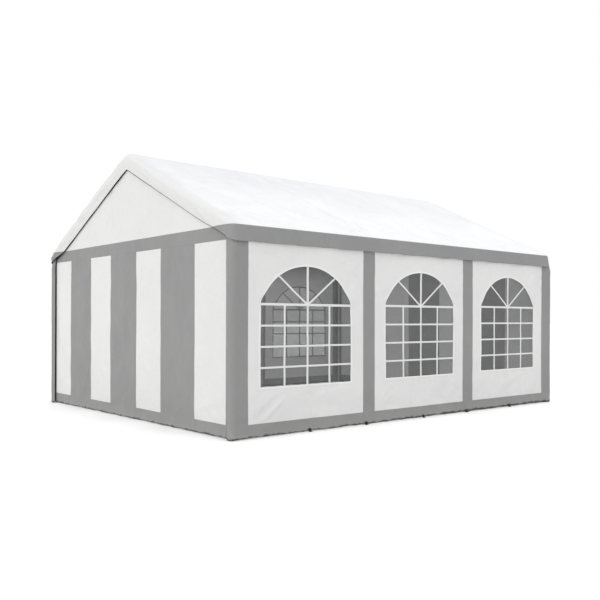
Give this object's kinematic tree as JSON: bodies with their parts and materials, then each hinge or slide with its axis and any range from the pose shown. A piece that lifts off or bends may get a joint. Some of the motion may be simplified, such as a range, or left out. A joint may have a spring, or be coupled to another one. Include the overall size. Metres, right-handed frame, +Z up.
{
  "type": "marquee tent",
  "caption": "Steel-framed party marquee with a white pitched cover, grey valances, arched-window side walls and striped end walls.",
  "frame": {"origin": "on the ground at the middle of the tent", "axes": "+X along the ridge, +Z up, -Y toward the long side that shows in the picture; the end that shows is at -X"},
  "size_m": [6.2006, 4.8926, 3.502],
  "materials": {
    "steel_tube": "satin zinc-coated steel tube",
    "steel_fitting": "zinc-coated welded steel fitting",
    "white_cloth": "smooth coated cloth",
    "grey_cloth": "smooth coated cloth",
    "side_wall_cloth": "smooth coated cloth, white panels between grey bands",
    "end_wall_cloth": "smooth coated cloth, grey and white upright stripes",
    "window_film": "clear soft film, slightly smoky"
  },
  "bodies": {
    "root": {"corner_flap_back_left": "grey_cloth", "corner_flap_back_right": "grey_cloth", "corner_flap_front_left": "grey_cloth", "corner_flap_front_right": "grey_cloth", "eave_fitting_back_1": "steel_fitting", "eave_fitting_back_2": "steel_fitting", "eave_fitting_back_3": "steel_fitting", "eave_fitting_back_4": "steel_fitting", "eave_fitting_front_1": "steel_fitting", "eave_fitting_front_2": "steel_fitting", "eave_fitting_front_3": "steel_fitting", "eave_fitting_front_4": "steel_fitting", "eave_tube_back_1": "steel_tube", "eave_tube_back_2": "steel_tube", "eave_tube_back_3": "steel_tube", "eave_tube_front_1": "steel_tube", "eave_tube_front_2": "steel_tube", "eave_tube_front_3": "steel_tube", "end_wall_left": "end_wall_cloth", "end_wall_right": "end_wall_cloth", "gable_strip_left": "white_cloth", "gable_strip_right": "white_cloth", "leg_back_1": "steel_tube", "leg_back_2": "steel_tube", "leg_back_3": "steel_tube", "leg_back_4": "steel_tube", "leg_front_1": "steel_tube", "leg_front_2": "steel_tube", "leg_front_3": "steel_tube", "leg_front_4": "steel_tube", "rafter_back_1": "steel_tube", "rafter_back_2": "steel_tube", "rafter_back_3": "steel_tube", "rafter_back_4": "steel_tube", "rafter_front_1": "steel_tube", "rafter_front_2": "steel_tube", "rafter_front_3": "steel_tube", "rafter_front_4": "steel_tube", "ridge_fitting_1": "steel_fitting", "ridge_fitting_2": "steel_fitting", "ridge_fitting_3": "steel_fitting", "ridge_fitting_4": "steel_fitting", "ridge_tube_1": "steel_tube", "ridge_tube_2": "steel_tube", "ridge_tube_3": "steel_tube", "roof_back": "white_cloth", "roof_front": "white_cloth", "side_wall_back": "side_wall_cloth", "side_wall_front": "side_wall_cloth", "valance_back": "grey_cloth", "valance_front": "grey_cloth", "window_film_back_1": "window_film", "window_film_back_2": "window_film", "window_film_back_3": "window_film", "window_film_front_1": "window_film", "window_film_front_2": "window_film", "window_film_front_3": "window_film"}
  },
  "joints": []
}
